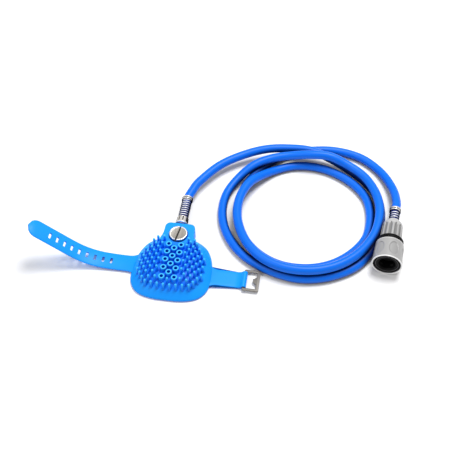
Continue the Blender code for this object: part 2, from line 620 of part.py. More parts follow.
def make_nut():
    """A tapered nut with shallow flutes and a domed back."""
    sides = FLUTES * 4

    def ring(radius, z, depth):
        return [(r * math.cos(a), r * math.sin(a), z) for a, r in (
            (2 * math.pi * k / sides, radius - (depth if k % 4 in (1, 2) else 0)) for k in range(sides))]
    nut = place("clamp_nut", mesh_of(lambda bm: loft(bm, [
        ring(12.3, 36, 0), ring(12.7, 37, 0), ring(12.5, 39.5, 0), ring(12.3, 40.2, 0.8), ring(11.3, 55, 0.8),
        ring(10.8, 57.5, 0), ring(9.9, 60.5, 0), ring(8.3, 62.5, 0), ring(7.6, 68, 0)])), GREY, CONNECTOR)
    cut(nut, "nut_thread_room", lambda bm: add_cylinder(bm, 30, 58, 9.8), CONNECTOR)
    cut(nut, "nut_back_bore", lambda bm: add_cylinder(bm, 50, 80, HOSE_END_R + GAP, sides=24), CONNECTOR)


clear_scene()
PARTS = new_collection("bath_sprayer")
CUTTERS = new_collection("cutters")
SILICONE = material("silicone", (0.03, 0.32, 0.9), 0.45)
HOSE_BLUE = material("hose_pvc", (0.01, 0.16, 0.85), 0.25)
STEEL = material("steel", (0.62, 0.6, 0.57), 0.3, 1.0)
BRASS = material("brass", (0.7, 0.5, 0.22), 0.3, 1.0)
GREY = material("grey_abs", (0.55, 0.55, 0.55), 0.4)
BLACK = material("black_abs", (0.02, 0.02, 0.022), 0.4)
RUBBER = material("rubber", (0.03, 0.03, 0.03), 0.7)

PAD_MIDDLE = Vector((PAD_X, PAD_Y, 0))
PAD = bpy.data.objects.new("pad_frame", None)
TAIL = bpy.data.objects.new("hose_tail_axis", None)
CONNECTOR = bpy.data.objects.new("connector_axis", None)
for empty in (PAD, TAIL, CONNECTOR):
    PARTS.objects.link(empty)
PAD.location = PAD_MIDDLE * MM
TAIL.matrix_world = Matrix.Translation((PAD_MIDDLE + Vector((0, 0, HOSE_Z))) * MM) @ Matrix.Rotation(
    math.radians(-90), 4, "X")
CONNECTOR.matrix_world = Matrix.Translation((PAD_MIDDLE + Vector(MOUTH)) * MM) @ Matrix.Rotation(
    math.radians(-CONNECTOR_YAW), 4, "Z") @ Matrix.Rotation(math.radians(-90), 4, "X")

make_pad(SILICONE)
make_pad_inside()
make_banjo()
make_long_strap()
make_short_strap()
make_buckle()
make_pad_ferrule()
make_hose()
make_connector()
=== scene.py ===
"""Looks of a palm-worn pet bath sprayer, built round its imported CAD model.

It has a silicone scrubbing pad with two wrist straps, a coiled hose and a hose connector. Shapes are in
millimetres, from the floor under the middle of the palm button, or along a fitting's own axis.
"""

import json
import math

import bmesh
import bpy
from mathutils import Matrix, Vector


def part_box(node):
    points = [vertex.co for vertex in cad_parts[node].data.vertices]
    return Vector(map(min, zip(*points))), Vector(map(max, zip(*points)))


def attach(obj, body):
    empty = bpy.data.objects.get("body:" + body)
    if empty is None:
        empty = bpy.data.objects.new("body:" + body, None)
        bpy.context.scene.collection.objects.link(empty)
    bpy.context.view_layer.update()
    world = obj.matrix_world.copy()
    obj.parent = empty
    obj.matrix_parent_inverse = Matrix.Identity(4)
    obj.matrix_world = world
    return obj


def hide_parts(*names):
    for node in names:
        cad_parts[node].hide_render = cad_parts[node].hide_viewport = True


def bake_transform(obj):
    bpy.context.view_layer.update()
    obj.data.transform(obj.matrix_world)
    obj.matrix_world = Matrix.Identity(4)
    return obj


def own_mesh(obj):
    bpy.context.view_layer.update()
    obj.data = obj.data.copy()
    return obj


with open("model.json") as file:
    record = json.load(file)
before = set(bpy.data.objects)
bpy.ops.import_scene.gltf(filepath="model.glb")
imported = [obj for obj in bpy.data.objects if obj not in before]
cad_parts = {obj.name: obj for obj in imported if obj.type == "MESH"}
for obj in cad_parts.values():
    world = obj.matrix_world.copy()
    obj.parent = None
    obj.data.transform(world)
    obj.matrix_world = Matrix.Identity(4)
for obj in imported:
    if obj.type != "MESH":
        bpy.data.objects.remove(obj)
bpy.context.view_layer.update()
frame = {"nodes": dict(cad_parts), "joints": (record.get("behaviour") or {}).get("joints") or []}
JOINTS = {joint["name"]: joint for joint in frame["joints"]}
MM = 0.001


def middle(cad_node):
    low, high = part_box(cad_node)
    return (low + high) / 2


def heights(cad_node):
    """Lowest and highest place of a CAD node above the floor, in millimetres."""
    low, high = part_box(cad_node)
    return low.z / MM, high.z / MM


# ---------------------------------------------------------------- frames

PAD_MIDDLE = Vector((*middle("palm_button").xy, 0))
HOSE_Z = middle("pad_ferrule").z / MM
PAD = Matrix.Translation(PAD_MIDDLE)
TAIL = PAD @ Matrix.Translation((0, 0, HOSE_Z * MM)) @ Matrix.Rotation(math.radians(-90), 4, "X")
CONNECTOR_AXIS = Vector(JOINTS["sleeve_release"]["axis"]).normalized()
COLLAR_FROM_MOUTH = 85.5  # how far behind the mouth the middle of the last collar is
MOUTH = middle("connector_spring_collar") - CONNECTOR_AXIS * COLLAR_FROM_MOUTH * MM
CONNECTOR = Matrix.Translation(MOUTH) @ Matrix((
    (CONNECTOR_AXIS.y, 0, CONNECTOR_AXIS.x, 0),
    (-CONNECTOR_AXIS.x, 0, CONNECTOR_AXIS.y, 0),
    (0, -1, 0, 0),
    (0, 0, 0, 1)))

# ---------------------------------------------------------------- driving dimensions, in millimetres

# Pad: half of its outline, from the middle of the lower edge round to the tab, and its dome.
PAD_SIDE = [(0, -48.1), (20, -47.0), (36, -41.3), (45.3, -29.2), (47.9, -13), (46.6, 5), (42.6, 20),
            (34.6, 33), (19.5, 42)]
PAD_TOP_Y, PAD_HALF, DOME_CENTRE_Y = 44.5, 48.0, -4
LIP, DOME, DOME_RUN, DOME_POWER = 3.0, 15.0, 30.0, 1.8
PALM_RECESS, PALM_RECESS_TOP = 4.0, 3.3
SKIN_VOXEL, SKIN_SMOOTHING = 0.75, 9

# Tab that holds the bolt, and the bolt.
TAB_HALF, TAB_END, TAB_Z, TAB_CORNER, TAB_SIDE_Y, TAB_FLARE_RUN = 18.6, 57.0, 16.5, 7.0, 50.0, 18.0
TAB_FOOT, TAB_FOOT_FLARE, TAB_FLARE = (24, 15), 9.0, 2.5
BOLT_Y, SHANK_R, SHANK_LOW = 38.5, 5.0, 3.6
HEAD_LOW, HEAD_TOP, HEAD_R, HEAD_RIM = 16.4, 19.8, 10.9, 1.6
SEAT_GAP, SEAT_DEPTH = 0.9, 1.2
COIN_SLOT_W, COIN_SLOT_DEPTH, COIN_SLOT_TURN = 2.1, 2.3, math.radians(-8)

# Spray nozzles in three staggered columns.
NOZZLE_R, NOZZLE_BORE, NOZZLE_H, NOZZLE_ROOT, BORE_LOW = 3.7, 1.95, 6.0, 0.8, 13.2
NOZZLE_PITCH_X, NOZZLE_PITCH_Y, NOZZLE_TOP_Y = 7.4, 11.6, 18.4

# Scrubbing nubs in staggered rows that fall a little towards the sides, and a bowed row below the nozzles.
NUB_R, NUB_H, NUB_TIP, NUB_PITCH_X, NUB_PITCH_Y = 1.6, 10.6, 1.5, 7.6, 5.85
NUB_ROWS, NUB_COLUMNS, NUB_TOP_Y, NUB_FROM_X, NUB_ROW_FALL = 13, 5, 29.0, 14.6, 0.06
NUB_TO_RIM, NUB_TO_UPPER_RIM, UPPER_RIM_Y, NUB_LOWEST_Y = 9.3, 8.2, 5, -34
LOW_ROW_NUBS, LOW_ROW_PITCH, LOW_ROW_Y, LOW_ROW_BOW = 8, 7.3, -38.0, 0.004
LONE_NUB = (0, -32.0)
NUB_FIELD = (39.0, 37.0, -6.0)  # half its width, half its length, and its middle's y
TALLER_NUBS_FROM_Y, TALLER_BY = 20, 1.8

# Palm side.
PALM_PLATE_INSET, PALM_PLATE_T, PALM_HOLE_R = 4.3, 3.0, 13.5
BUTTON_R, BUTTON_FLANGE_R, BUTTON_FLANGE_LOW, BUTTON_DISH = 13.0, 14.4, 3.3, 0.8

# Wrist straps. A line is (distance from the pad's middle, height of the band's middle).
STRAP_T, STRAP_ROOT, STRAP_BLEND, ROOT_FLARE_RUN = 2.2, 48.0, 3.4, 10.0
LONG_STRAP_Y, LONG_STRAP_HALF, LONG_STRAP_FLARE = -2.6, 11.7, 3.2
LONG_STRAP = [(38, 2.9), (48, 2.9), (60, 2.9), (74, 3.4), (88, 4.9), (100, 8.2), (111, 13.4), (121, 20.4),
              (131, 28.6), (141, 36.8), (151, 45.0), (166, 57.4)]
SLOTS, SLOT_PITCH, SLOT_FROM_TIP, SLOT_L, SLOT_W, SLOT_CORNER = 9, 10.0, 28.5, 7.6, 3.2, 1.1
SHORT_STRAP_Y, SHORT_STRAP_HALF, SHORT_STRAP_FLARE, STRAP_LOW = -8.2, 11.1, 3.6, 1.0

# Buckle, and the bar that the short strap is moulded round.
BAR_X, BAR_Z, BAR_T, BAR_HOLE_R, LOOP_R = 86.4, 3.7, 2.0, 1.7, 3.3
BUCKLE_L, BUCKLE_HALF, BUCKLE_T, BUCKLE_RIM, BUCKLE_CORNER = 19.2, 14.8, 2.0, 3.8, 1.8
TOOTH_L, TOOTH_W = 4.2, 7.0

# Hose. Each turn is (radius, height) of its middle at stations TURN_STEP degrees apart, clockwise round COIL.
HOSE_R, HOSE_END_R, HOSE_WIDENING = 5.6, 5.1, 6.0
HOSE_FROM, HOSE_INTO_NUT, THIN_AT_PAD, THIN_AT_CONNECTOR = 62.0, 60.0, 38.0, 27.0
COIL, FIRST_STATION, TURN_STEP = (148.75, 95.0), 165, 15
OUTER_TURN = [(143, 13), (134.8, 14), (126.2, 15), (118.6, 17), (112, 17.2), (107.6, 17.2), (104.5, 12),
              (103.4, 7), (103, 5.7), (101.5, 5.7), (97.5, 5.7), (94, 5.7), (92, 5.7), (93.2, 5.7), (94, 5.7),
              (93.2, 5.7), (93.2, 5.7), (93.5, 5.7), (93, 5.7), (94, 5.7), (96.3, 5.7), (98.5, 5.7),
              (101, 5.7), (103.3, 5.7)]
UPPER_TURN = [(105, 6.3), (103.8, 10), (101.8, 16.3), (99.3, 18), (95.8, 20), (93, 24.5), (96, 25), (99, 19),
              (99.5, 17.3), (97, 17.2), (94.2, 17.2), (91, 17.2), (89.1, 17.2), (87.8, 17.2), (87.8, 17.2),
              (88.4, 17.2), (89, 17.2), (89.6, 17.2), (90.2, 17.2), (89.6, 17.2), (87.6, 17.2), (85.3, 17.2),
              (84.2, 17.2), (83.9, 17.2)]
INNER_TURN = [(84, 17.2), (84.4, 16.2), (85.3, 11), (88, 6.2), (89.8, 5.7), (89.8, 5.7), (89.2, 5.7),
              (88.2, 5.7), (87.8, 5.7), (87, 5.7), (83.8, 5.7), (81.3, 5.7), (80.4, 5.7), (78.4, 5.7),
              (77.3, 5.7), (77.4, 5.7), (78, 5.7), (78.8, 5.7), (80.2, 5.7), (81, 5.7), (81.5, 5.7),
              (82.2, 5.7), (83, 5.7), (84.2, 5.7)]
LAST_TURN = [(87, 5.7), (91, 5.7), (97, 5.7), (104, 5.7), (111.8, 5.7), (119.5, 5.7), (127.4, 5.7),
             (132.4, 5.7), (130.6, 6.2), (124.5, 9.5)]
LIFT_POINT = (4.0, 116, 0.8)  # where the hose leaves the pad's fittings, and how far it has risen
LANDING = (103, 15.4)  # distance behind the connector's mouth, and height, where the hose comes down to it

# Fittings on the hose: distances from the pad's middle along the tail, or behind the connector's mouth.
FERRULE_TO, RELIEF_TO, COLLAR_TO = 68.0, 97.0, 101.6
NUT_TO, CONNECTOR_RELIEF_TO, CONNECTOR_COLLAR_TO = 68.4, 83.0, 88.0
RELIEF_WIRE, RELIEF_COIL_R, PAD_TURNS, CONNECTOR_TURNS = 0.6, 5.75, 8, 3.5
COLLAR_R, COLLAR_LIP_R, COLLAR_GROOVE_R, COLLAR_BORE = 6.9, 7.0, 6.3, 5.3
CRIMPS, CRIMP_DEPTH, CRIMP_LOW, CRIMP_HIGH, FERRULE_FLANGE_Z = 9, 0.8, 60.0, 67.6, 59.8

# Connector: recesses for the fingers round its sleeve, and flutes round its nut.
RECESSES, RECESS_DEPTH, RECESS_Z, RECESS_HALF_L, RECESS_SHARE = 6, 0.8, 14.5, 9.5, 0.34
SLEEVE_BORE, SLEEVE_EDGE = 16.05, 28.4
FLUTES, FLUTE_DEPTH, FLUTE_LOW, FLUTE_HIGH, FLUTE_SHARE = 12, 1.35, 38.5, 58.5, 0.36
CLAWS = 4

# Studio, in metres from the pad's middle. Each light: name, place from LIT_POINT, power and size.
FLOOR_HALF, WORLD_COLOUR, WORLD_STRENGTH = 6, (1.0, 0.985, 0.97), 0.45
LIT_POINT = (0.08, 0.06, 0)
LIGHTS = (("key", (0.25, 0.4, 1.3), 17, 0.6), ("fill", (-0.8, -0.5, 1.2), 5.5, 0.9))
CAMERA_PLACE, CAMERA_TARGET, CAMERA_LENS = (0.1450, -0.5273, 0.7383), (0.0618, 0.0647, 0), 59.4


# ---------------------------------------------------------------- materials

def link(tree, source, output, target, entry):
    tree.links.new(source.outputs[output], target.inputs[entry])


def node(tree, kind, **inputs):
    made = tree.nodes.new("ShaderNode" + kind)
    for name, value in inputs.items():
        made.inputs[name].default_value = value
    return made


def mix(tree, factor, a, b):
    """A colour mix. factor is an output, and a and b are outputs or colours."""
    made = tree.nodes.new("ShaderNodeMix")
    made.data_type = "RGBA"
    entries = {entry.identifier: entry for entry in made.inputs}
    tree.links.new(factor, entries["Factor_Float"])
    for name, value in (("A_Color", a), ("B_Color", b)):
        if isinstance(value, tuple):
            entries[name].default_value = (*value, 1)
        else:
            tree.links.new(value, entries[name])
    return next(output for output in made.outputs if output.identifier == "Result_Color")


def painted_light_attribute(tree):
    """The mesh's painted light, from -1 (painted shade) to 1 (painted highlight)."""
    attribute = tree.nodes.new("ShaderNodeAttribute")
    attribute.attribute_name = "painted_light"
    return attribute


def with_painted_light(tree, colour, deep, light):
    """Carries colour, an output, to the painted shade or the painted highlight colour by the mesh's painted
    light.
    """
    depth = painted_light_attribute(tree)
    for factor, end in ((-1, deep), (1, light)):
        part = tree.nodes.new("ShaderNodeMath")
        part.operation, part.use_clamp = "MULTIPLY", True
        part.inputs[1].default_value = factor
        link(tree, depth, "Fac", part, 0)
        colour = mix(tree, part.outputs[0], colour, end)
    return colour


def shine_off_in_painted_shade(tree, shader, metallic):
    """Takes the metal's shine off where the painted shade is deep, so that it stays dark."""
    depth = painted_light_attribute(tree)
    for entry, plain in (("Metallic", metallic), ("Specular IOR Level", 0.5)):
        ramp = node(tree, "MapRange", **{"From Min": -0.8, "From Max": 0.0, "To Min": 0.0, "To Max": plain})
        link(tree, depth, "Fac", ramp, "Value")
        link(tree, ramp, "Result", shader, entry)


def shaded(tree, colour, shade, near):
    """Carries colour, an output, to shade where another surface is near."""
    open_sky = node(tree, "AmbientOcclusion", Distance=near)
    open_sky.samples = 12
    ramp = node(tree, "MapRange", **{"From Min": 0.34, "From Max": 0.86})
    link(tree, open_sky, "AO", ramp, "Value")
    return mix(tree, ramp.outputs["Result"], shade, colour)


def finish(name, colour, roughness, metallic=0.0, mottle=0.06, mottle_scale=60, grain=0.0, grain_scale=2500,
           stretch=(1, 1, 1), rough_change=0.08, tones=None, shade=None, near=0.016, **extra):
    """Principled material whose colour and roughness drift a little, with a fine bump grain.

    tones holds a painted shade and a painted highlight colour, which the mesh's painted light reaches at -1
    and 1.
    shade is the colour of places that have another surface within near, in metres.
    """
    material = bpy.data.materials.new(name)
    material.use_nodes = True
    tree = material.node_tree
    shader = tree.nodes["Principled BSDF"]
    shader.inputs["Metallic"].default_value = metallic
    for entry, value in extra.items():
        shader.inputs[entry.replace("_", " ")].default_value = value
    place = tree.nodes.new("ShaderNodeTexCoord")
    mapping = node(tree, "Mapping", Scale=stretch)
    link(tree, place, "Object", mapping, "Vector")
    drift = node(tree, "TexNoise", Scale=mottle_scale, Detail=3)
    link(tree, mapping, "Vector", drift, "Vector")
    tint = tree.nodes.new("ShaderNodeValToRGB")
    for element, factor in zip(tint.color_ramp.elements, (1 - mottle, 1 + mottle)):
        element.color = (*[min(1, c * factor) for c in colour], 1)
    link(tree, drift, "Fac", tint, "Fac")
    base = with_painted_light(tree, tint.outputs["Color"], *tones) if tones else tint.outputs["Color"]
    if shade:
        base = shaded(tree, base, shade, near)
    tree.links.new(base, shader.inputs["Base Color"])
    rough = node(tree, "MapRange", **{"To Min": roughness - rough_change, "To Max": roughness + rough_change})
    link(tree, drift, "Fac", rough, "Value")
    link(tree, rough, "Result", shader, "Roughness")
    if tones and metallic:
        shine_off_in_painted_shade(tree, shader, metallic)
    if grain:
        fine = node(tree, "TexNoise", Scale=grain_scale, Detail=4)
        link(tree, mapping, "Vector", fine, "Vector")
        bump = node(tree, "Bump", Strength=grain, Distance=0.0002)
        link(tree, fine, "Fac", bump, "Height")
        link(tree, bump, "Normal", shader, "Normal")
    material.diffuse_color = (*colour, 1)
    return material


# The silicone's deep and light colours are painted shade and painted highlight, and its shade colour is
# painted shade in creases.
SILICONE = finish("silicone", (0.004, 0.30, 1.0), 0.42, mottle=0.05, grain=0.15, grain_scale=1800,
                  tones=((0.001, 0.15, 0.86), (0.05, 0.52, 1.0)), shade=(0.001, 0.12, 0.70), near=0.005,
                  Specular_IOR_Level=0.2)
HOSE_SKIN = finish("hose_pvc", (0.001, 0.15, 0.80), 0.36, mottle=0.06, mottle_scale=25, rough_change=0.05,
                   shade=(0.0005, 0.009, 0.10), Specular_IOR_Level=0.2)
# Painted shade: the hose under each relief spring, dark as if shaded by the spring's turns.
HOSE_PAINTED_SHADE = finish("hose_painted_shade", (0.0004, 0.010, 0.13), 0.8, Specular_IOR_Level=0.0)
BRUSHED = finish("brushed_nickel", (0.20, 0.19, 0.175), 0.55, 0.7, mottle=0.1, mottle_scale=300, grain=0.3,
                 grain_scale=900, stretch=(1, 0.04, 1), Specular_IOR_Level=0.2)
# Painted shade: the locking claws, near-black like the dark mouth they sit in.
CLAW_PAINTED_SHADE = finish("claw_painted_shade", (0.02, 0.02, 0.02), 0.6, 0.5, Specular_IOR_Level=0.1)
# The bolt's light colour is a painted highlight on its rim.
TURNED = finish("turned_nickel", (0.50, 0.47, 0.43), 0.34, 1.0, mottle=0.16, mottle_scale=250, grain=0.35,
                grain_scale=900, stretch=(1, 0.05, 1), tones=((0.03, 0.028, 0.025), (1.0, 0.99, 0.96)))
# The deep and light colours are painted shade and painted highlights on the collars and the ferrule.
BRIGHT = finish("bright_steel", (0.60, 0.57, 0.52), 0.25, 0.65, mottle=0.05, rough_change=0.05,
                tones=((0.006, 0.006, 0.008), (1.0, 0.99, 0.96)))
# Painted highlight on top of each turn and painted shade below; the wire's blue-grey is a painted reflection
# of the blue hose.
WIRE = finish("spring_wire", (0.13, 0.16, 0.26), 0.3, 0.25, mottle=0.03, rough_change=0.05,
              tones=((0.004, 0.006, 0.02), (0.95, 0.97, 1.0)))
SLOT_SHADE = finish("slot_shade", (0.03, 0.028, 0.025), 0.55, 0.6)
BRASS = finish("brass", (0.75, 0.55, 0.26), 0.3, 1.0)
# The deep and light colours are painted shade and painted highlights on the sleeve and the nut.
GREY = finish("grey_abs", (0.35, 0.35, 0.35), 0.33, mottle=0.04, grain=0.2, grain_scale=4000,
              tones=((0.06, 0.06, 0.062), (0.88, 0.88, 0.88)))
DARK_GREY = finish("dark_grey_abs", (0.07, 0.07, 0.072), 0.4)
BLACK = finish("black_abs", (0.002, 0.002, 0.0022), 0.5, Specular_IOR_Level=0.12)
RUBBER = finish("black_rubber", (0.02, 0.02, 0.02), 0.6)


# ---------------------------------------------------------------- mesh helpers

def mesh_of(build):
    """The mesh that build(bm) makes, with its faces turned outwards."""
    bm = bmesh.new()
    build(bm)
    bmesh.ops.recalc_face_normals(bm, faces=bm.faces)
    mesh = bpy.data.meshes.new("mesh")
    bm.to_mesh(mesh)
    bm.free()
    return mesh


def put(name, mesh, material, matrix=PAD, angle=35):
    """A smooth-shaded object whose mesh, in millimetres, is moved by matrix into the world."""
    mesh.transform(matrix @ Matrix.Scale(MM, 4))
    mesh.materials.clear()
    mesh.materials.append(material)
    mesh.shade_smooth()
    mesh.set_sharp_from_angle(angle=math.radians(angle))
    obj = bpy.data.objects.new(name, mesh)
    bpy.context.scene.collection.objects.link(obj)
    return obj


def painted_light(mesh, value):
    """Stores value(x, y, z) of each vertex, in the mesh's own frame, as the painted light that materials
    read: painted shade below 0 and painted highlight above it.
    """
    layer = mesh.attributes.new("painted_light", "FLOAT", "POINT")
    for vertex, entry in zip(mesh.vertices, layer.data):
        entry.value = value(*vertex.co)
    return mesh


def on(obj, body, *nodes, slot=None):
    """The piece rides on a body and stands for these CAD nodes."""
    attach(obj, body)
    return stands_for(obj, nodes)


def stands_for(obj, nodes):
    if nodes:
        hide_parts(*nodes)
    return obj


def loft(bm, rings, closed=False):
    """Faces between rings of equal length, with a cap at each end unless the rings close on themselves."""
    made = [[bm.verts.new(point) for point in ring] for ring in rings]
    pairs = list(zip(made, made[1:])) + ([(made[-1], made[0])] if closed else [])
    for low, high in pairs:
        for i in range(len(low)):
            j = (i + 1) % len(low)
            bm.faces.new((low[i], low[j], high[j], high[i]))
    if not closed:
        bm.faces.new(made[0])
        bm.faces.new(made[-1])


def softened(points, radius=0.5, steps=3, closed=True):
    """The same outline with each corner rounded by up to radius."""
    points = [Vector(p) for p in points]
    count, made = len(points), []
    for i, point in enumerate(points):
        if not closed and i in (0, count - 1):
            made.append(point)
            continue
        before, after = points[i - 1], points[(i + 1) % count]
        reach = min(radius, (before - point).length * 0.45, (after - point).length * 0.45)
        a, b = (point + (other - point).normalized() * reach for other in (before, after))
        made += [(a * (1 - t) + point * t) * (1 - t) + (point * (1 - t) + b * t) * t
                 for t in (k / steps for k in range(steps + 1))]
    return made


def turned_mesh(profile, sides=96, shape=None, radius=0.4, centre=(0, 0)):
    """A turned shape from a profile of (radius, height). shape(angle, r, z) may change the radius.

    A profile that starts on the axis ends there too, and any other is a closed ring.
    """
    solid = profile[0][0] == 0
    outline = softened(profile, radius, closed=not solid)
    if solid:
        outline = [p for p in outline if p.x > 0]

    def build(bm):
        angles = [2 * math.pi * k / sides for k in range(sides)]
        loft(bm, [[(centre[0] + r * math.cos(a), centre[1] + r * math.sin(a), p.y) for a, r in (
            (a, shape(a, p.x, p.y) if shape else p.x) for a in angles)] for p in outline], closed=not solid)

    return mesh_of(build)


def ring_profile(inner, outer, low, high):
    return [(outer, high), (outer, low), (inner, low), (inner, high)]


def arc(centre, radius, start, end, steps):
    turns = [math.radians(start + (end - start) * i / steps) for i in range(steps + 1)]
    return [(centre[0] + radius * math.cos(a), centre[1] + radius * math.sin(a)) for a in turns]


def circle(x, y, radius, z, sides):
    """Points round an upright axis at (x, y)."""
    turns = [2 * math.pi * k / sides for k in range(sides)]
    return [(x + radius * math.cos(a), y + radius * math.sin(a), z) for a in turns]


def smooth_curve(points, steps, closed=False, lead=None):
    """Points on a Catmull-Rom curve, steps to each stretch. lead holds a point before and one after."""
    points = [Vector(p) for p in points]
    count = len(points)
    before, after = lead or (2 * points[0] - points[1], 2 * points[-1] - points[-2])
    ends = [points[-1]] + points + points[:2] if closed else [before] + points + [after]
    made = []
    for i in range(count if closed else count - 1):
        a, b, c, d = ends[i:i + 4]
        for k in range(steps):
            t = k / steps
            made.append(0.5 * (2 * b + (c - a) * t + (2 * a - 5 * b + 4 * c - d) * t * t
                               + (3 * b - a - 3 * c + d) * t ** 3))
    return made if closed else made + [points[-1]]


def wire(name, points, radius, material, matrix=PAD, radii=None, roundness=4):
    """A round rod along points. radii holds its radius at each of them, where it changes."""
    curve = bpy.data.curves.new(name, "CURVE")
    curve.dimensions = "3D"
    curve.bevel_depth = radius * MM
    curve.bevel_resolution = roundness
    curve.use_fill_caps = True
    spline = curve.splines.new("POLY")
    spline.points.add(len(points) - 1)
    for i, (entry, point) in enumerate(zip(spline.points, points)):
        entry.co = (*(matrix @ (Vector(point) * MM)), 1)
        entry.radius = radii[i] / radius if radii else 1
    spline.use_smooth = True
    curve.materials.append(material)
    obj = bpy.data.objects.new(name, curve)
    bpy.context.scene.collection.objects.link(obj)
    return obj


def spring(name, radius, low, high, turns, thickness, matrix):
    """A wire helix along the matrix's Z axis, with a painted highlight on top and painted shade below it.
    thickness is the wire's radius.
    """
    per_turn = 28
    count = round(turns * per_turn)
    points = []
    for i in range(count + 1):
        a = 2 * math.pi * i / per_turn
        points.append((radius * math.cos(a), radius * math.sin(a), low + (high - low) * i / count))
    helix = wire(name + "_helix", points, thickness, WIRE, matrix)
    mesh = bpy.data.meshes.new_from_object(helix.evaluated_get(bpy.context.evaluated_depsgraph_get()))
    bpy.data.objects.remove(helix)
    # Painted highlight on the wire's upper side, painted shade lower down.
    painted_light(mesh, lambda x, y, z: min(1, max(-1, 4 * ((z - matrix.translation.z) / MM / radius - 0.7))))
    coil = bpy.data.objects.new(name, mesh)
    bpy.context.scene.collection.objects.link(coil)
    return coil


def baked(obj):
    """The object with its modifiers applied."""
    graph = bpy.context.evaluated_depsgraph_get()
    mesh = bpy.data.meshes.new_from_object(obj.evaluated_get(graph))
    obj.modifiers.clear()
    obj.data = mesh
    return obj


def boolean(obj, mesh, operation="DIFFERENCE"):
    """Cuts or joins a mesh, in millimetres in the pad's frame, and applies it."""
    mesh.transform(PAD @ Matrix.Scale(MM, 4))
    other = bpy.data.objects.new("cutter", mesh)
    bpy.context.scene.collection.objects.link(other)
    modifier = obj.modifiers.new("cut", "BOOLEAN")
    modifier.operation, modifier.object, modifier.solver = operation, other, "EXACT"
    baked(obj)
    bpy.data.objects.remove(other)


def rounded_edges(obj, width, segments=2):
    """The object with its sharp edges bevelled by width, in millimetres."""
    modifier = obj.modifiers.new("edges", "BEVEL")
    modifier.width, modifier.segments = width * MM, segments
    modifier.limit_method, modifier.angle_limit = "ANGLE", math.radians(40)
    modifier.harden_normals = False
    return baked(obj)


# ---------------------------------------------------------------- pad

def pad_outline():
    right = [Vector((x, y, 0)) for x, y in PAD_SIDE]
    left = [Vector((-p.x, p.y, 0)) for p in reversed(right[1:])]
    return smooth_curve(right + [Vector((0, PAD_TOP_Y, 0))] + left, 10, closed=True)


OUTLINE = pad_outline()


def dome_height(inset):
    """Height of the dome at a distance in from the rim."""
    return LIP + DOME * (1 - (1 - min(max(inset, 0) / DOME_RUN, 1)) ** DOME_POWER)


def rim_distance(x, y):
    return min((Vector((x, y, 0)) - point).length for point in OUTLINE)


def surface(x, y):
    """Height of the pad's dome."""
    return dome_height(rim_distance(x, y))


def shrunk(inset, z):
    """The pad's outline moved inwards by inset, at height z."""
    count = len(OUTLINE)
    ring = []
    for i, point in enumerate(OUTLINE):
        along = OUTLINE[(i + 1) % count] - OUTLINE[i - 1]
        moved = point + Vector((-along.y, along.x, 0)).normalized() * inset
        ring.append((moved.x, moved.y, z))
    return ring


def scaled(share, z):
    """The pad's outline shrunk towards the dome's centre, at height z."""
    return [(p.x * share, DOME_CENTRE_Y + (p.y - DOME_CENTRE_Y) * share, z) for p in OUTLINE]


def nozzle_places():
    rows = [(0, NOZZLE_TOP_Y - NOZZLE_PITCH_Y * (i + 0.5)) for i in range(4)]
    for side in (-1, 1):
        rows += [(side * NOZZLE_PITCH_X, NOZZLE_TOP_Y - NOZZLE_PITCH_Y * i) for i in range(5)]
    return rows


def nub_places():
    """Staggered rows on both sides of the nozzles, and a bowed row and one nub below them."""
    found = []
    for row in range(NUB_ROWS):
        y = NUB_TOP_Y - NUB_PITCH_Y * row
        for column in range(NUB_COLUMNS):
            x = NUB_FROM_X + NUB_PITCH_X * (column + 0.5 * (row % 2))
            found += [(side * x, y - NUB_ROW_FALL * x) for side in (-1, 1)]
    found = [(x, y) for x, y in found if y > NUB_LOWEST_Y
             and rim_distance(x, y) > (NUB_TO_UPPER_RIM if y > UPPER_RIM_Y else NUB_TO_RIM)]
    low_row = [LOW_ROW_PITCH * (i - (LOW_ROW_NUBS - 1) / 2) for i in range(LOW_ROW_NUBS)]
    return found + [(x, LOW_ROW_Y + LOW_ROW_BOW * x ** 2) for x in low_row] + [LONE_NUB]


def tab_outline(flare):
    """A block towards the hose with round corners, whose sides run out into the pad by flare."""
    corner = arc((TAB_HALF - TAB_CORNER, TAB_END - TAB_CORNER), TAB_CORNER, 90, 0, 6)
    side = [(TAB_HALF + flare * t ** 3, TAB_SIDE_Y - TAB_FLARE_RUN * t) for t in (0.25, 0.5, 0.75, 1)]
    right = corner + side + [TAB_FOOT]
    return right + [(-x, y) for x, y in reversed(right)]


def skin_painted_shade(x, y, z):
    """Deeper between the nubs, where less light reaches. The place is in metres, in the world."""
    x, y = (x - PAD_MIDDLE.x) / MM, (y - PAD_MIDDLE.y) / MM
    half_x, half_y, middle_y = NUB_FIELD
    inside = 1 - (x / half_x) ** 2 - ((y - middle_y) / half_y) ** 2
    return -0.6 * min(max(inside * 3, 0), 1)


def dome_mesh():
    insets = [0.5, 1.5, 3, 5, 7.5, 10.5, 14, 18, 22.5, 27.5, 33, 39]
    sides = [scaled(0.975, 0), scaled(1, 1.0), scaled(1, LIP - 0.6)]
    rings = sides + [scaled(1 - inset / PAD_HALF, dome_height(inset)) for inset in insets]
    return mesh_of(lambda bm: loft(bm, rings))


def tab_mesh():
    outlines = [(tab_outline(TAB_FOOT_FLARE), z) for z in (0, LIP)]
    outlines += [(tab_outline(TAB_FLARE), z) for z in (LIP + 1.5, TAB_Z)]
    return mesh_of(lambda bm: loft(bm, [[(x, y, z) for x, y in outline] for outline, z in outlines]))


def plug(radius, low, high, sides, rounding, centre=(0, 0)):
    """A round cutter from low to high."""
    profile = [(0, high), (radius, high), (radius, low), (0, low)]
    return turned_mesh(profile, sides, radius=rounding, centre=centre)


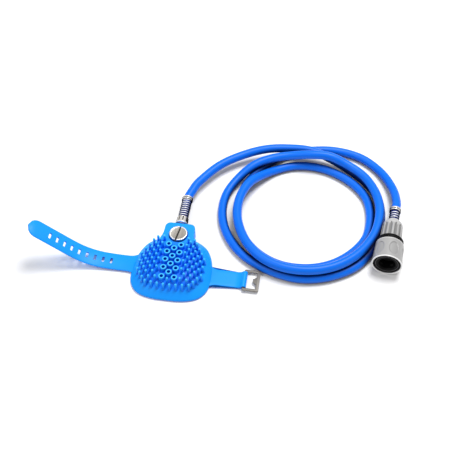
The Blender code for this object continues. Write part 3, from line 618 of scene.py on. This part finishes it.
def make_skin():
    """The dome and its tab melted into one moulding, then cut for the palm plate, the bolt and the bores."""
    skin = put("scrubber_skin", dome_mesh(), SILICONE)
    boolean(skin, tab_mesh(), "UNION")
    remesh = skin.modifiers.new("remesh", "REMESH")
    remesh.mode, remesh.voxel_size, remesh.use_smooth_shade = "VOXEL", SKIN_VOXEL * MM, True
    smooth = skin.modifiers.new("smooth", "SMOOTH")
    smooth.factor, smooth.iterations = 0.5, SKIN_SMOOTHING
    baked(skin)
    recess = [shrunk(PALM_RECESS, z) for z in (-1, PALM_RECESS_TOP)]
    boolean(skin, mesh_of(lambda bm: loft(bm, recess)))
    boolean(skin, plug(HEAD_R + SEAT_GAP, HEAD_LOW - SEAT_DEPTH, 30, 72, 0.2, (0, BOLT_Y)))
    for place in nozzle_places():
        boolean(skin, plug(NOZZLE_BORE, BORE_LOW, 40, 20, 0.1, place))
    painted_light(skin.data, skin_painted_shade)
    skin.data.shade_smooth()
    skin.data.set_sharp_from_angle(angle=math.radians(40))
    on(skin, "pad", "scrubber_pad", slot="blue_silicone")


def make_nozzles():
    """Thick-walled nozzles that stand on the dome over their bores."""
    def build(bm):
        for x, y in nozzle_places():
            top = surface(x, y) + NOZZLE_H
            root = top - NOZZLE_H - NOZZLE_ROOT
            outline = softened([(NOZZLE_R, top), (NOZZLE_R + 0.3, root + 1.4), (NOZZLE_R + 1.2, root),
                                (NOZZLE_BORE, root), (NOZZLE_BORE, top - 2.5), (NOZZLE_BORE, top)], 0.75, 4)
            loft(bm, [circle(x, y, p.x, p.y, 32) for p in outline], closed=True)

    tops = [(x, y, surface(x, y) + NOZZLE_H) for x, y in nozzle_places()]

    def nozzle_painted_light(x, y, z):
        """Painted highlights on the rims, painted shade that deepens down the nozzles, and the deepest
        painted shade in the bores.
        """
        near = min(tops, key=lambda top: (x - top[0]) ** 2 + (y - top[1]) ** 2)
        radius, depth = math.hypot(x - near[0], y - near[1]), near[2] - z
        if radius < NOZZLE_BORE + 0.1 and depth > 0.6:
            return -1
        return max(0.85 - 0.5 * depth, -0.55)

    on(put("spray_nozzles", painted_light(mesh_of(build), nozzle_painted_light), SILICONE), "pad", slot="blue_silicone")


def make_nubs():
    """Upright nubs with spread roots and domed tips, with painted shade at their roots that turns to a
    painted highlight towards their tips.
    """
    tip_r, tip_z = NUB_R - 0.08, NUB_H - NUB_TIP
    root = [(2.5, -0.9), (1.95, 0.1), (1.68, 1.1)]
    shaft = [(NUB_R, 3), (tip_r, tip_z)]
    shaft += [(tip_r * math.cos(a), tip_z + NUB_TIP * math.sin(a)) for a in (0.4, 0.8, 1.15, 1.45)]

    def build(bm):
        layer = bm.verts.layers.float.new("painted_light")
        for x, y in nub_places():
            base, known = surface(x, y), len(bm.verts)
            taller = TALLER_BY if y > TALLER_NUBS_FROM_Y else 0.0
            profile = root + [(r, z + taller) for r, z in shaft]
            loft(bm, [circle(x, y, r, base + z, 14) for r, z in profile])
            bm.verts.ensure_lookup_table()
            for vertex in bm.verts[known:]:
                # Painted shade at the nub's root, turning to a painted highlight at its tip.
                height = max(vertex.co.z - base, 0) / NUB_H
                vertex[layer] = -0.7 + 1.6 * height ** 1.6

    on(put("scrubbing_nubs", mesh_of(build), SILICONE, angle=60), "pad", slot="blue_silicone")


def make_palm_side():
    """Flat cover round a push button with a dished face."""
    outlines = [shrunk(PALM_PLATE_INSET, z) for z in (0, PALM_PLATE_T)]
    plate = put("palm_cover", mesh_of(lambda bm: loft(bm, outlines)), BLACK)
    boolean(plate, plug(PALM_HOLE_R, -9, 9, 72, 0.1))
    on(rounded_edges(plate, 0.4), "pad", "palm_plate", slot="black_plastic")
    low, high = heights("palm_button")
    profile = [(0, high), (BUTTON_FLANGE_R, high), (BUTTON_FLANGE_R, BUTTON_FLANGE_LOW),
               (BUTTON_R, BUTTON_FLANGE_LOW), (BUTTON_R, low), (9.5, low + 0.2), (8, low + BUTTON_DISH),
               (0, low + BUTTON_DISH)]
    button = put("push_button", turned_mesh(profile, 72, radius=0.6), DARK_GREY)
    on(button, "palm_button", "palm_button", slot="black_plastic")


def from_bolt(point):
    """Distance from the bolt's axis and height of a world point, in millimetres."""
    place = (Vector(point) - PAD_MIDDLE) / MM - Vector((0, BOLT_Y, 0))
    return place.xy.length, place.z


def bolt_painted_highlight(x, y, z):
    """Painted highlight along the turned rim. The place is in metres, in the world."""
    radius, height = from_bolt((x, y, z))
    return 0.9 if radius > HEAD_R - HEAD_RIM - 0.1 and height > HEAD_TOP - 0.5 else 0


def make_bolt():
    """Slotted bolt with a turned rim round its head, which carries a painted highlight, and painted shade in
    its slot.
    """
    profile = [(0, HEAD_TOP - 0.25), (HEAD_R - HEAD_RIM - 0.4, HEAD_TOP - 0.25),
               (HEAD_R - HEAD_RIM, HEAD_TOP), (HEAD_R, HEAD_TOP), (HEAD_R, HEAD_LOW),
               (SHANK_R, HEAD_LOW), (SHANK_R, SHANK_LOW), (0, SHANK_LOW)]
    bolt = put("slotted_bolt", turned_mesh(profile, 96, radius=0.55, centre=(0, BOLT_Y)), TURNED)
    cutter = (Matrix.Translation((0, BOLT_Y, HEAD_TOP)) @ Matrix.Rotation(COIN_SLOT_TURN, 4, "Z")
              @ Matrix.Diagonal((COIN_SLOT_W, 40, 2 * COIN_SLOT_DEPTH, 1)))
    boolean(bolt, mesh_of(lambda bm: bmesh.ops.create_cube(bm, size=1, matrix=cutter)))
    painted_light(bolt.data, bolt_painted_highlight)
    bolt.data.materials.append(SLOT_SHADE)
    for face in bolt.data.polygons:
        radius, height = from_bolt(face.center)
        if radius < HEAD_R - 0.2 and HEAD_LOW + 0.1 < height < HEAD_TOP - 0.6:
            face.material_index = 1
    bolt.data.set_sharp_from_angle(angle=math.radians(35))
    on(bolt, "coin_bolt", "coin_bolt", slot="brushed_steel")


# ---------------------------------------------------------------- straps and buckle

def band(line, width_at):
    """Rings of a flat band with round edges along line, in X and Z, and the line's length.

    width_at(distance, total) is the y of the band's middle and half its width.
    """
    rings, walked, steps, edge = [], 0.0, 4, STRAP_T / 2
    total = sum((b - a).length for a, b in zip(line, line[1:]))
    for i, point in enumerate(line):
        walked += (point - line[i - 1]).length if i else 0
        along = (line[min(i + 1, len(line) - 1)] - line[max(i - 1, 0)]).normalized()
        up = Vector((along.z, 0, -along.x)) * (1 if along.x < 0 else -1)
        middle_y, half = width_at(walked, total)
        half = max(half - edge, 0.05)
        ring = []
        for side, start in ((1, 90), (-1, 270)):
            for k in range(steps + 1):
                a = math.radians(start - 180 * k / steps)
                ring.append(point + Vector((0, middle_y + side * half + edge * 0.8 * math.cos(a), 0))
                            + up * edge * math.sin(a))
        rings.append(ring)
    return rings, total


def flared(walked, extra):
    """Extra half width at the root, which dies away over ROOT_FLARE_RUN."""
    return extra * max(0, 1 - max(walked, 0) / ROOT_FLARE_RUN) ** 2


def slot_cutter(point, along):
    """A rounded slot through the long strap, across its length, at a point of its middle line."""
    turn = Matrix.Translation(point + Vector((0, LONG_STRAP_Y, 0))) @ Matrix.Rotation(
        math.atan2(along.z, -along.x), 4, "Y")
    x, y = SLOT_W / 2, SLOT_L / 2
    outline = softened([(x, -y), (x, y), (-x, y), (-x, -y)], SLOT_CORNER, 4)
    return mesh_of(lambda bm: loft(bm, [[turn @ Vector((p.x, p.y, z)) for p in outline] for z in (-4, 4)]))


def make_long_strap():
    """A band with a round tip, which curls up off the floor."""
    line = smooth_curve([(-x, 0, z) for x, z in LONG_STRAP], 8)
    root = STRAP_ROOT - LONG_STRAP[0][0]

    def width_at(walked, total):
        half, left = LONG_STRAP_HALF, total - walked
        if left < half:
            half = math.sqrt(max(half ** 2 - (half - left) ** 2, 0.01))
        return LONG_STRAP_Y, half + flared(walked - root + 4, LONG_STRAP_FLARE)

    rings, total = band(line, width_at)
    strap = put("long_wrist_strap", mesh_of(lambda bm: loft(bm, rings)), SILICONE)
    for k in range(SLOTS):
        boolean(strap, slot_cutter(*along_line(line, total - SLOT_FROM_TIP - SLOT_PITCH * k)))
    strap.data.set_sharp_from_angle(angle=math.radians(50))
    bend(strap, "long_strap")


def along_line(line, distance):
    """The point at a distance along line, and the direction there."""
    for a, b in zip(line, line[1:]):
        length = (b - a).length
        if distance <= length:
            return a.lerp(b, distance / length), (b - a).normalized()
        distance -= length
    return line[-1], (line[-1] - line[-2]).normalized()


def bend(strap, cad_node):
    """The strap's placing is baked into its mesh, and it stands for its CAD node."""
    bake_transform(strap)
    stands_for(strap, [cad_node])


def make_short_strap():
    """A band whose end swells round the buckle's bar."""
    top = STRAP_LOW + STRAP_T
    end = [(BAR_X - 2, STRAP_LOW)] + arc((BAR_X, BAR_Z), LOOP_R, -55, 150, 20)
    end += [(BAR_X - 5.2, top + 0.7), (BAR_X - 8, top + 0.1)]
    root, stations = STRAP_ROOT - 9, 26
    xs = [root + (BAR_X - 10 - root) * k / stations for k in range(stations + 1)]
    side = [(x, STRAP_LOW) for x in xs] + end + [(x, top) for x in reversed(xs)]

    def half_at(x):
        return SHORT_STRAP_HALF + flared(x - STRAP_ROOT + 3, SHORT_STRAP_FLARE)

    def build(bm):
        loft(bm, [[(x, SHORT_STRAP_Y + share * half_at(x), z) for x, z in side] for share in (
            -1, -0.6, -0.2, 0.2, 0.6, 1)])

    strap = put("short_wrist_strap", mesh_of(build), SILICONE)
    bar = Matrix.Translation((BAR_X, SHORT_STRAP_Y, BAR_Z)) @ Matrix.Rotation(math.radians(90), 4, "X")
    boolean(strap, mesh_of(lambda bm: bmesh.ops.create_cone(
        bm, cap_ends=True, segments=24, radius1=BAR_HOLE_R, radius2=BAR_HOLE_R, depth=60, matrix=bar)))
    rounded_edges(strap, 0.5, 3)
    strap.data.shade_smooth()
    strap.data.set_sharp_from_angle(angle=math.radians(45))
    bend(strap, "short_strap")


def slab(outline, half_height):
    """A flat plate in the plane of the buckle."""
    rings = [[(p.x, p.y, BAR_Z + z) for p in outline] for z in (-half_height, half_height)]
    return mesh_of(lambda bm: loft(bm, rings))


def make_buckle():
    """A flat frame whose tooth stands into its window."""
    near = BAR_X - BAR_T / 2
    far, y = near + BUCKLE_L, SHORT_STRAP_Y
    inner, half = far - BUCKLE_RIM, SHORT_STRAP_HALF + 0.5
    low, high = y - BUCKLE_HALF, y + BUCKLE_HALF
    edge = softened([(near, low), (far, low), (far, high), (near, high)], BUCKLE_CORNER, 5)
    # Each point of half the tooth: its share of the length, and how far it stands beyond half the width.
    half_tooth = [(0, 1.4), (0.45, 0.6), (0.5, -0.5), (1, -0.9)]
    tooth = [(inner - TOOTH_L * share, y - TOOTH_W / 2 - more) for share, more in half_tooth]
    tooth += [(inner - TOOTH_L * share, y + TOOTH_W / 2 + more) for share, more in reversed(half_tooth)]
    window = [(near + BAR_T, y - half), (inner, y - half)] + tooth
    window += [(inner, y + half), (near + BAR_T, y + half)]
    buckle = put("buckle", slab(edge, BUCKLE_T / 2), BRUSHED)
    boolean(buckle, slab(softened(window, 0.5, 2), 3))
    rounded_edges(buckle, 0.3, 2)
    buckle.data.set_sharp_from_angle(angle=math.radians(40))
    on(buckle, "buckle", "buckle_frame", slot="brushed_steel")


# ---------------------------------------------------------------- hose

def connector_point(distance, z=None):
    """A point on the connector's axis, a distance behind its mouth, from the middle of the pad."""
    point = (MOUTH + CONNECTOR_AXIS * distance * MM - PAD_MIDDLE) / MM
    return Vector((point.x, point.y, z or point.z))


def hose_line():
    """Straight through the relief at each end, and a smooth curve in between."""
    start, end = (Vector((0, y, HOSE_Z)) for y in (HOSE_FROM, COLLAR_TO))
    x, y, rise = LIFT_POINT
    loose = [end, Vector((x, y, HOSE_Z + rise))]
    for i, (radius, height) in enumerate(OUTER_TURN + UPPER_TURN + INNER_TURN + LAST_TURN):
        angle = math.radians(FIRST_STATION - TURN_STEP * i)
        loose.append(Vector((COIL[0] + radius * math.cos(angle), COIL[1] + radius * math.sin(angle), height)))
    loose += [connector_point(*LANDING), connector_point(CONNECTOR_COLLAR_TO)]
    line = smooth_curve(loose, 8, lead=(start.lerp(end, 0.7), connector_point(CONNECTOR_COLLAR_TO - 12)))
    return [start] + line + [connector_point(HOSE_INTO_NUT)]


def make_hose():
    """The hose, a little thinner inside its fittings, and its length in metres."""
    points = hose_line()
    total = sum((b - a).length for a, b in zip(points, points[1:]))
    radii, walked = [], 0.0
    for i, point in enumerate(points):
        walked += (point - points[i - 1]).length if i else 0
        free = min(walked - THIN_AT_PAD, total - walked - THIN_AT_CONNECTOR)
        radii.append(HOSE_END_R + (HOSE_R - HOSE_END_R) * min(max(free / HOSE_WIDENING, 0), 1))
    hose = wire("water_hose", points, HOSE_R, HOSE_SKIN, radii=radii, roundness=8)
    on(hose, "pad", "hose", slot="blue_hose")
    return hose, total * MM


def sleeve_on_hose(name, low, high, matrix):
    """The stretch of hose that shows between a relief spring's turns, dark with painted shade from the
    spring.
    """
    profile = ring_profile(HOSE_END_R - 0.4, HOSE_END_R + 0.08, low, high)
    return put(name, turned_mesh(profile, 48, radius=0.05), HOSE_PAINTED_SHADE, matrix)


def collar_mesh(low, high):
    """A grooved ring that holds the free end of a relief spring."""
    groove = (low - 0.3 + high) / 2
    profile = [(COLLAR_R, high), (COLLAR_R, groove + 0.7), (COLLAR_GROOVE_R, groove + 0.5),
               (COLLAR_GROOVE_R, groove - 0.5), (COLLAR_LIP_R, groove - 0.7), (COLLAR_LIP_R, low),
               (COLLAR_BORE, low), (COLLAR_BORE, high)]

    def collar_painted_light(x, y, z):
        # Painted highlight on the outer faces, painted shade in the groove and round the sides.
        return painted_top_light(x, y, 0.9 if math.hypot(x, y) > (COLLAR_R + COLLAR_GROOVE_R) / 2 else -1)

    return painted_light(turned_mesh(profile, 64, radius=0.3), collar_painted_light)


def ferrule_mesh():
    """A crimped tube with a flange against the pad."""
    profile = [(7.0, FERRULE_TO)] + finely([(7.1, 67.4), (7.4, FERRULE_FLANGE_Z)], 16)
    profile += [(7.8, 59.2), (7.8, 57.8), (3.7, 57.8), (3.7, 61.4), (5.4, 61.4), (5.4, FERRULE_TO)]
    return painted_light(turned_mesh(profile, 160, crimped, radius=0.3), crimp_painted_light)


def make_reliefs():
    """The crimped ferrule, and at each end of the hose a relief spring with its collar."""
    made = []
    for side, matrix, start, to, end, turns in (
            ("pad", TAIL, FERRULE_TO, RELIEF_TO, COLLAR_TO, PAD_TURNS),
            ("connector", CONNECTOR, NUT_TO, CONNECTOR_RELIEF_TO, CONNECTOR_COLLAR_TO, CONNECTOR_TURNS)):
        coil = spring(side + "_spring", RELIEF_COIL_R, start + 0.9, to - 0.6, turns, RELIEF_WIRE, matrix)
        on(coil, "pad", side + "_relief_spring", slot="steel_wire")
        collar = put(side + "_collar", collar_mesh(to + 0.3, end), BRIGHT, matrix)
        on(collar, "pad", side + "_spring_collar", slot="bright_steel")
        inner = sleeve_on_hose(side + "_hose_under_spring", start, to + 1, matrix)
        on(inner, "pad", slot="blue_hose")
        made += [coil, collar, inner]
    ferrule = put("crimped_ferrule", ferrule_mesh(), BRIGHT, TAIL)
    on(ferrule, "pad", "pad_ferrule", slot="bright_steel")
    return made + [ferrule]


def painted_top_light(x, y, value):
    """Painted light of a fitting that lies along the floor: value near its top, and painted shade round its
    sides.
    """
    up = -y / max(math.hypot(x, y), 0.01)
    return max(-1, value - 4 * max(0, 0.86 - up))


def crimp(angle, z):
    """Depth of the ferrule's crimped grooves, from 0 to 1."""
    fade = max(0, min(1, (z - CRIMP_LOW) / 0.8, (CRIMP_HIGH - z) / 0.8))
    return max(0, math.cos(CRIMPS * angle)) ** 3 * fade


def crimped(angle, r, z):
    """Grooves in the outer wall only."""
    return r - CRIMP_DEPTH * crimp(angle, z) if r > 6.9 else r


def crimp_painted_light(x, y, z):
    """Painted shade in the grooves between painted highlights on the lands, a painted highlight on the
    flange, and painted shade round the sides.
    """
    if z < FERRULE_FLANGE_Z:
        return painted_top_light(x, y, 1)
    return painted_top_light(x, y, 0.6 - 1.6 * min(1, 2 * crimp(math.atan2(y, x), z)))


# ---------------------------------------------------------------- connector

def gripped(angle, r, z):
    """Shallow oval finger recesses round the sleeve."""
    if r < SLEEVE_BORE + 0.25:
        return r
    return r - RECESS_DEPTH * min(max((1 - grip_oval(angle, z)) * 5, 0), 1)


def grip_oval(angle, z):
    """Below 1 inside the nearest finger recess."""
    turn = (angle / (2 * math.pi) * RECESSES + 0.75) % 1 - 0.5
    return (turn / RECESS_SHARE) ** 2 + ((z - RECESS_Z) / RECESS_HALF_L) ** 2


def sleeve_painted_light(x, y, z):
    """Painted highlights on the moulded edges at both ends, painted shade in the bore, and painted shade in
    the recesses, deepest at their rims.
    """
    radius = math.hypot(x, y)
    if z < 0.9 and radius > 16.0:
        return 1
    if z > SLEEVE_EDGE and radius > SLEEVE_BORE + 0.05:
        return 0.9
    if radius < SLEEVE_BORE + 0.05 or (z < 4.3 and radius < 16.4):
        return -1
    oval = grip_oval(math.atan2(y, x), z)
    return -0.24 if 0.72 < oval < 1.02 else -0.1 if oval < 1 else 0.0


def flute_turn(angle):
    """Place across the nearest flute, as a share of the flutes' spacing, from -0.5 to 0.5."""
    return (angle / (2 * math.pi) * FLUTES) % 1 - 0.5


def fluted(angle, r, z):
    """Long flutes between ribs."""
    if not FLUTE_LOW < z < FLUTE_HIGH or r < 10.4:
        return r
    fade = min(1, (z - FLUTE_LOW) / 1.2, (FLUTE_HIGH - z) / 2.2)
    return r - FLUTE_DEPTH * fade * max(0, 1 - (flute_turn(angle) / FLUTE_SHARE) ** 2)


def nut_painted_light(x, y, z):
    """A painted highlight on the front edge with painted shade inside it, and painted shade in the flutes,
    which have arched ends, between the ribs.
    """
    radius = math.hypot(x, y)
    if z < 37.6:
        return 0.8 if radius > 12.3 else -1
    arch = math.sqrt(max(0, min(1, (FLUTE_HIGH - z) / 4)))
    if abs(flute_turn(math.atan2(y, x))) / 0.27 < arch:
        return -0.55
    return 0.2 if z > FLUTE_HIGH - 1 else 0.05


def finely(ends, count):
    """Points along the wall between two ends, close enough for shallow relief to show."""
    (r_high, z_high), (r_low, z_low) = ends
    return [(r_high + (r_low - r_high) * t, z_high + (z_low - z_high) * t) for t in (
        k / count for k in range(count + 1))]


def make_connector():
    """The core, the sleeve that slides on it and the nut.

    Profiles are (radius, distance behind the mouth), round the wall.
    """
    sleeve = [(16.4, 29.2), (16.7, 29.2)] + finely([(16.8, 27.8), (17.8, 1.6)], 34)
    sleeve += [(18.0, 1.0), (17.8, 0), (16.5, 0), (16.2, 0.8), (16.2, 4.2), (12.75, 4.2), (12.75, 11),
               (SLEEVE_BORE, 11), (SLEEVE_BORE, 29.2)]
    core = [(9.2, 52), (9.4, 36), (15.75, 35.8), (15.85, 29.6), (12.4, 29.6), (12.4, 3.9), (15.9, 3.9),
            (15.9, 1.8), (14.4, 1.3), (12.2, 1.6), (10.6, 0.9), (9.5, 2.4), (9.4, 26), (4.6, 27.5), (4.6, 52)]
    # A dark grey ring in the black mouth: a painted highlight on the mouth's inner edge.
    mouth_painted_highlight = [(13.5, 2.2), (13.4, 0.9), (12.9, 0.9), (12.8, 2.2)]
    nut = [(7.4, 68), (8.4, 64.4), (9.6, 63.2), (11.6, 62)] + finely([(12.1, 60.6), (12.9, FLUTE_LOW)], 30)
    nut += [(13.2, 37.4), (12.9, 36), (9.8, 36), (9.8, 57.9), (5.4, 57.9), (5.4, 68)]
    sleeve_mesh = painted_light(turned_mesh(sleeve, 180, gripped, 0.3), sleeve_painted_light)
    nut_mesh = painted_light(turned_mesh(nut, 192, fluted, 0.4), nut_painted_light)
    return [
        on(put("grey_release_sleeve", sleeve_mesh, GREY, CONNECTOR),
           "release_sleeve", "release_sleeve", slot="grey_plastic"),
        on(put("black_connector_core", turned_mesh(core, radius=0.3), BLACK, CONNECTOR),
           "pad", "connector_body", slot="black_plastic"),
        on(put("mouth_painted_highlight", turned_mesh(mouth_painted_highlight, radius=0.2), DARK_GREY, CONNECTOR),
           "pad", slot="black_plastic"),
        on(put("fluted_nut", nut_mesh, GREY, CONNECTOR), "clamp_nut", "clamp_nut", slot="grey_plastic")]


def make_inner_springs():
    """The springs over the palm button and inside the release sleeve."""
    for name, radius, low, high, turns, thickness, matrix, joint, fixed_end, keep in (
            ("valve_spring", 7.0, 4.8, 6.8, 2, 0.35, PAD, "palm_button_press", 7.5, 0.5),
            ("sleeve_spring", 14.1, 12.0, 29.2, 4, 0.65, CONNECTOR, "sleeve_release", 30.0, 0.74)):
        coil = spring(name + "_coil", radius, low, high, turns, thickness, matrix)
        on(coil, "pad", name, slot="steel_wire")
        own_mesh(coil)


def repaint_inside():
    """CAD pieces that stay as they are get their real finishes, but the locking claws are near-black as
    painted shade inside the mouth.
    """
    finishes = {"water_tray": GREY, "spray_plate": BRUSHED, "hose_eye": BRASS, "threaded_insert": BRASS,
                "valve_plunger": BRASS, "hose_tail": BRASS, "lower_washer": RUBBER, "upper_washer": RUBBER,
                "plunger_seal": RUBBER, "spigot_seal": RUBBER, "grip_ring": BLACK}
    finishes.update({f"locking_claw_{k + 1}": CLAW_PAINTED_SHADE for k in range(CLAWS)})
    for name, material in finishes.items():
        mesh = frame["nodes"][name].data
        mesh.materials.clear()
        mesh.materials.append(material)


# ---------------------------------------------------------------- stage

def make_stage():
    """Plain pale floor under a soft sky and two soft lights."""
    plane = mesh_of(lambda bm: bmesh.ops.create_grid(bm, x_segments=1, y_segments=1, size=FLOOR_HALF))
    floor = bpy.data.objects.new("floor", plane)
    floor.data.materials.append(finish("backdrop", (0.93, 0.93, 0.935), 0.75, mottle=0.0))
    bpy.context.scene.collection.objects.link(floor)
    world = bpy.data.worlds.new("studio")
    world.use_nodes = True
    background = world.node_tree.nodes["Background"]
    background.inputs["Color"].default_value = (*WORLD_COLOUR, 1)
    background.inputs["Strength"].default_value = WORLD_STRENGTH
    bpy.context.scene.world = world
    for name, place, power, size in LIGHTS:
        light(name, Vector(place), power, size)


def light(name, place, power, size):
    """A square lamp that faces LIT_POINT."""
    lamp = bpy.data.lights.new(name, "AREA")
    lamp.energy, lamp.size = power, size
    obj = bpy.data.objects.new(name, lamp)
    bpy.context.scene.collection.objects.link(obj)
    obj.location = PAD_MIDDLE + Vector(LIT_POINT) + place
    obj.rotation_euler = (-place).to_track_quat("-Z", "Y").to_euler()


def make_camera():
    """Looks down at the middle of the object, a little from its right."""
    data = bpy.data.cameras.new("camera")
    data.lens, data.sensor_width = CAMERA_LENS, 36
    camera = bpy.data.objects.new("camera", data)
    bpy.context.scene.collection.objects.link(camera)
    target = PAD_MIDDLE + Vector(CAMERA_TARGET)
    camera.location = PAD_MIDDLE + Vector(CAMERA_PLACE)
    camera.rotation_euler = (target - camera.location).to_track_quat("-Z", "Y").to_euler()
    bpy.context.scene.camera = camera


make_camera()
make_stage()
hose, hose_length = make_hose()
fittings = make_reliefs() + make_connector()
make_skin()
make_nozzles()
make_nubs()
make_palm_side()
make_bolt()
make_long_strap()
make_short_strap()
make_buckle()
make_inner_springs()
repaint_inside()
bpy.context.scene.view_settings.view_transform = "Standard"
